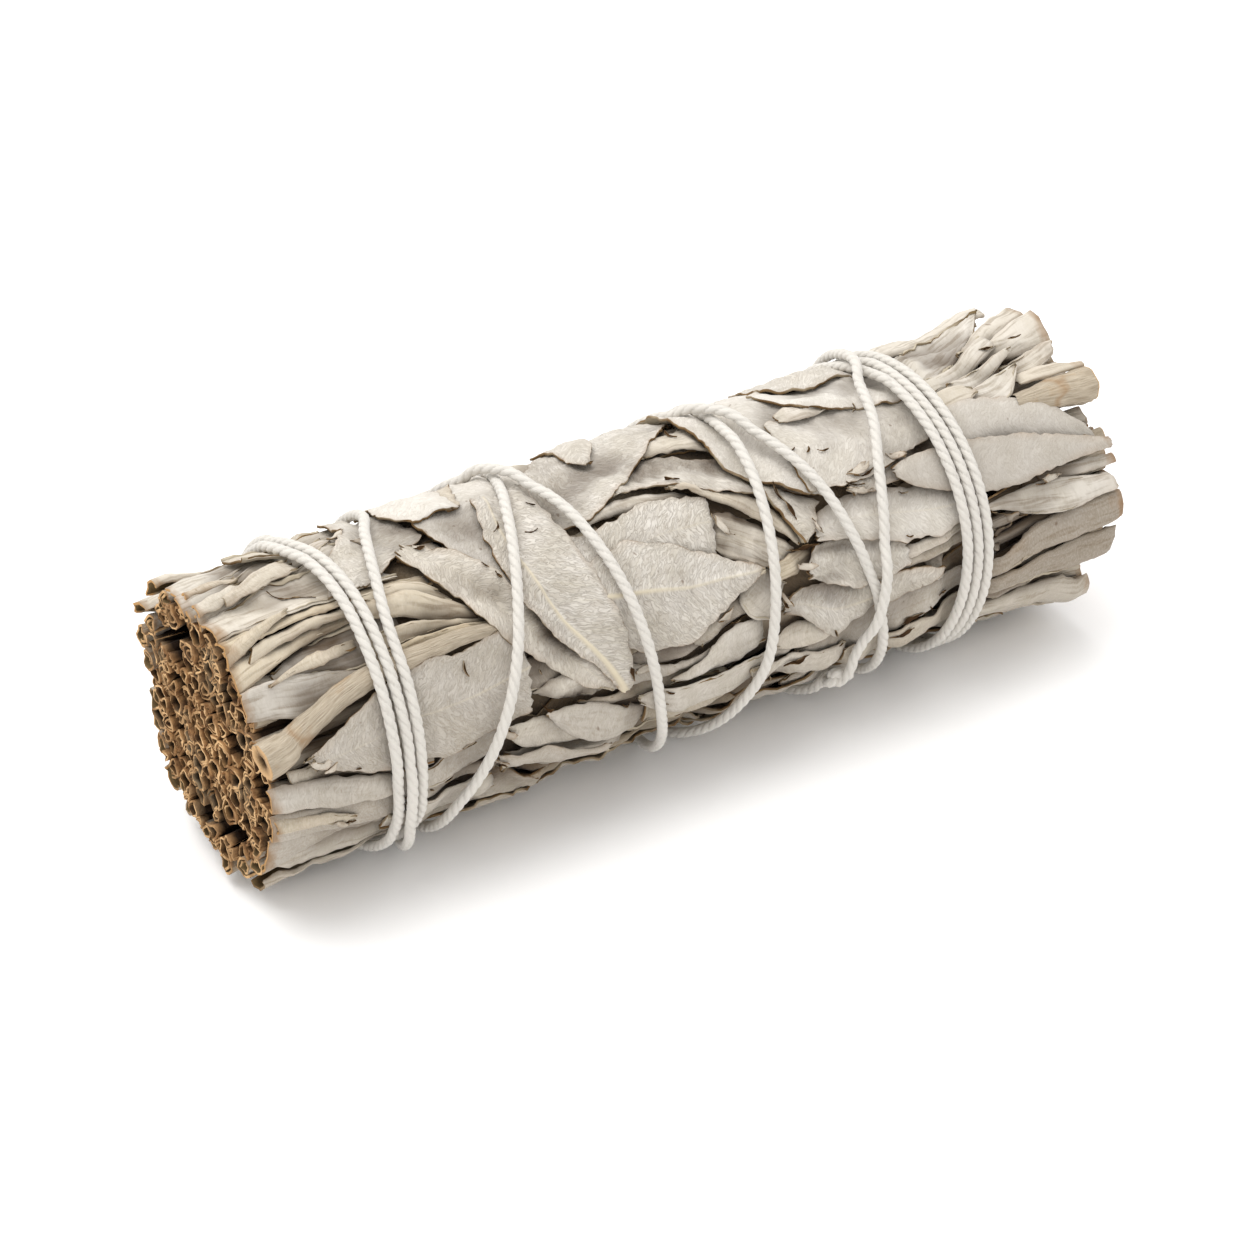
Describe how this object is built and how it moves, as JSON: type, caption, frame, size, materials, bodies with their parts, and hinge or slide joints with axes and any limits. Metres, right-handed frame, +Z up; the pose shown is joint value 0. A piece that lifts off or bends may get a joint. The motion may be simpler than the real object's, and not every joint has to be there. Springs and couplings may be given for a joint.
{
  "type": "sage smudge stick",
  "caption": "Round bundle of dried white sage stems and leaves, cut off at both ends, wrapped in broad leaves and bound with one length of cotton twine.",
  "frame": {"origin": "on the surface that the bundle lies on, below the middle of its bounding box", "axes": "+X along the bundle from its clean cut end to its ragged end, -Y towards the side that the picture shows, +Z up"},
  "size_m": [0.1, 0.0348, 0.0335],
  "materials": {
    "dried_leaf": "dry felted leaf, matte, pale warm grey",
    "packed_sage": "cut ends of dried stems and rolled leaves, matte, brown",
    "dried_stem": "dry ribbed stem, matte, tan",
    "cotton_twine": "three-ply spun cotton, matte, off-white"
  },
  "bodies": {
    "root": {"sprig_heart": "packed_sage", "sprig_1": "packed_sage", "sprig_2": "packed_sage", "sprig_3": "packed_sage", "sprig_4": "packed_sage", "sprig_5": "packed_sage", "sprig_6": "packed_sage", "wrap_leaf_01": "dried_leaf", "wrap_leaf_02": "dried_leaf", "wrap_leaf_03": "dried_leaf", "wrap_leaf_04": "dried_leaf", "wrap_leaf_05": "dried_leaf", "wrap_leaf_06": "dried_leaf", "wrap_leaf_07": "dried_leaf", "wrap_leaf_08": "dried_leaf", "wrap_leaf_09": "dried_leaf", "wrap_leaf_10": "dried_leaf", "wrap_leaf_11": "dried_leaf", "wrap_leaf_12": "dried_leaf", "wrap_leaf_13": "dried_leaf", "wrap_leaf_14": "dried_leaf", "wrap_leaf_15": "dried_leaf", "wrap_leaf_16": "dried_leaf", "wrap_leaf_17": "dried_leaf", "wrap_leaf_18": "dried_leaf", "wrap_leaf_19": "dried_leaf", "wrap_leaf_20": "dried_leaf", "wrap_leaf_21": "dried_leaf", "wrap_leaf_22": "dried_leaf", "wrap_leaf_23": "dried_leaf", "wrap_leaf_24": "dried_leaf", "wrap_leaf_25": "dried_leaf", "wrap_leaf_26": "dried_leaf", "wrap_leaf_27": "dried_leaf", "wrap_leaf_28": "dried_leaf", "wrap_leaf_29": "dried_leaf", "wrap_leaf_30": "dried_leaf", "wrap_leaf_31": "dried_leaf", "stem_near": "dried_stem", "stem_far": "dried_stem", "cotton_twine": "cotton_twine"}
  },
  "joints": []
}
